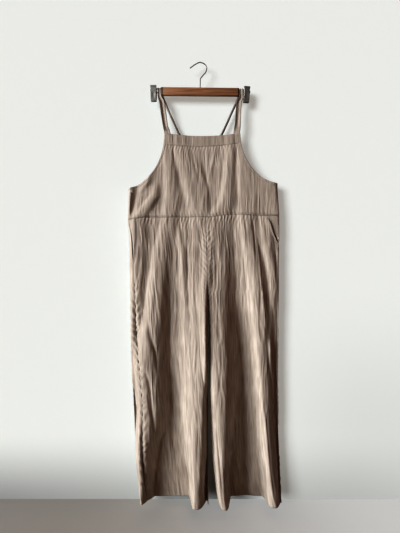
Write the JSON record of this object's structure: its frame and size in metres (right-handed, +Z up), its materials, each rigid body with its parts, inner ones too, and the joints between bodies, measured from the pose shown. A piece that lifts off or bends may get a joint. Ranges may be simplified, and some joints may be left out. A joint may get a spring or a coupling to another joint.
{
  "type": "dungarees on a wooden clip hanger",
  "caption": "Wide-leg linen dungarees with a banded bib, armhole bindings and slant pockets, hung by both straps over the wire ends of a wooden clip hanger.",
  "frame": {"origin": "inner crest of the hanger's hook, the line on which a rail or wall peg carries everything", "axes": "+Z up, the garment's front faces -Y, +X to the right as one looks at the front"},
  "size_m": [0.5224, 0.1193, 1.4998],
  "materials": {
    "linen": "matt crinkled linen, taupe",
    "wood": "waxed, mid brown",
    "steel_wire": "zinc plated wire",
    "hook_wire": "dark plated wire",
    "pressed_steel": "dark plated sheet",
    "pad": "matt dark rubber"
  },
  "bodies": {
    "root": {"bib_front": "linen", "bib_band": "linen", "back_bodice": "linen", "armhole_binding_left": "linen", "armhole_binding_right": "linen", "strap_left": "linen", "strap_right": "linen", "trouser_front_left": "linen", "trouser_front_right": "linen", "trouser_back_left": "linen", "trouser_back_right": "linen", "pocket_facing_left": "linen", "pocket_facing_right": "linen", "pocket_bag_left": "linen", "pocket_bag_right": "linen", "hanger_bar": "wood", "hanger_hook": "hook_wire", "bail_left": "steel_wire", "bail_right": "steel_wire", "clip_left_front_jaw": "pressed_steel", "clip_left_back_jaw": "pressed_steel", "clip_right_front_jaw": "pressed_steel", "clip_right_back_jaw": "pressed_steel", "clip_left_front_pad": "pad", "clip_left_back_pad": "pad", "clip_right_front_pad": "pad", "clip_right_back_pad": "pad", "clip_left_spring": "steel_wire", "clip_right_spring": "steel_wire"}
  },
  "joints": []
}
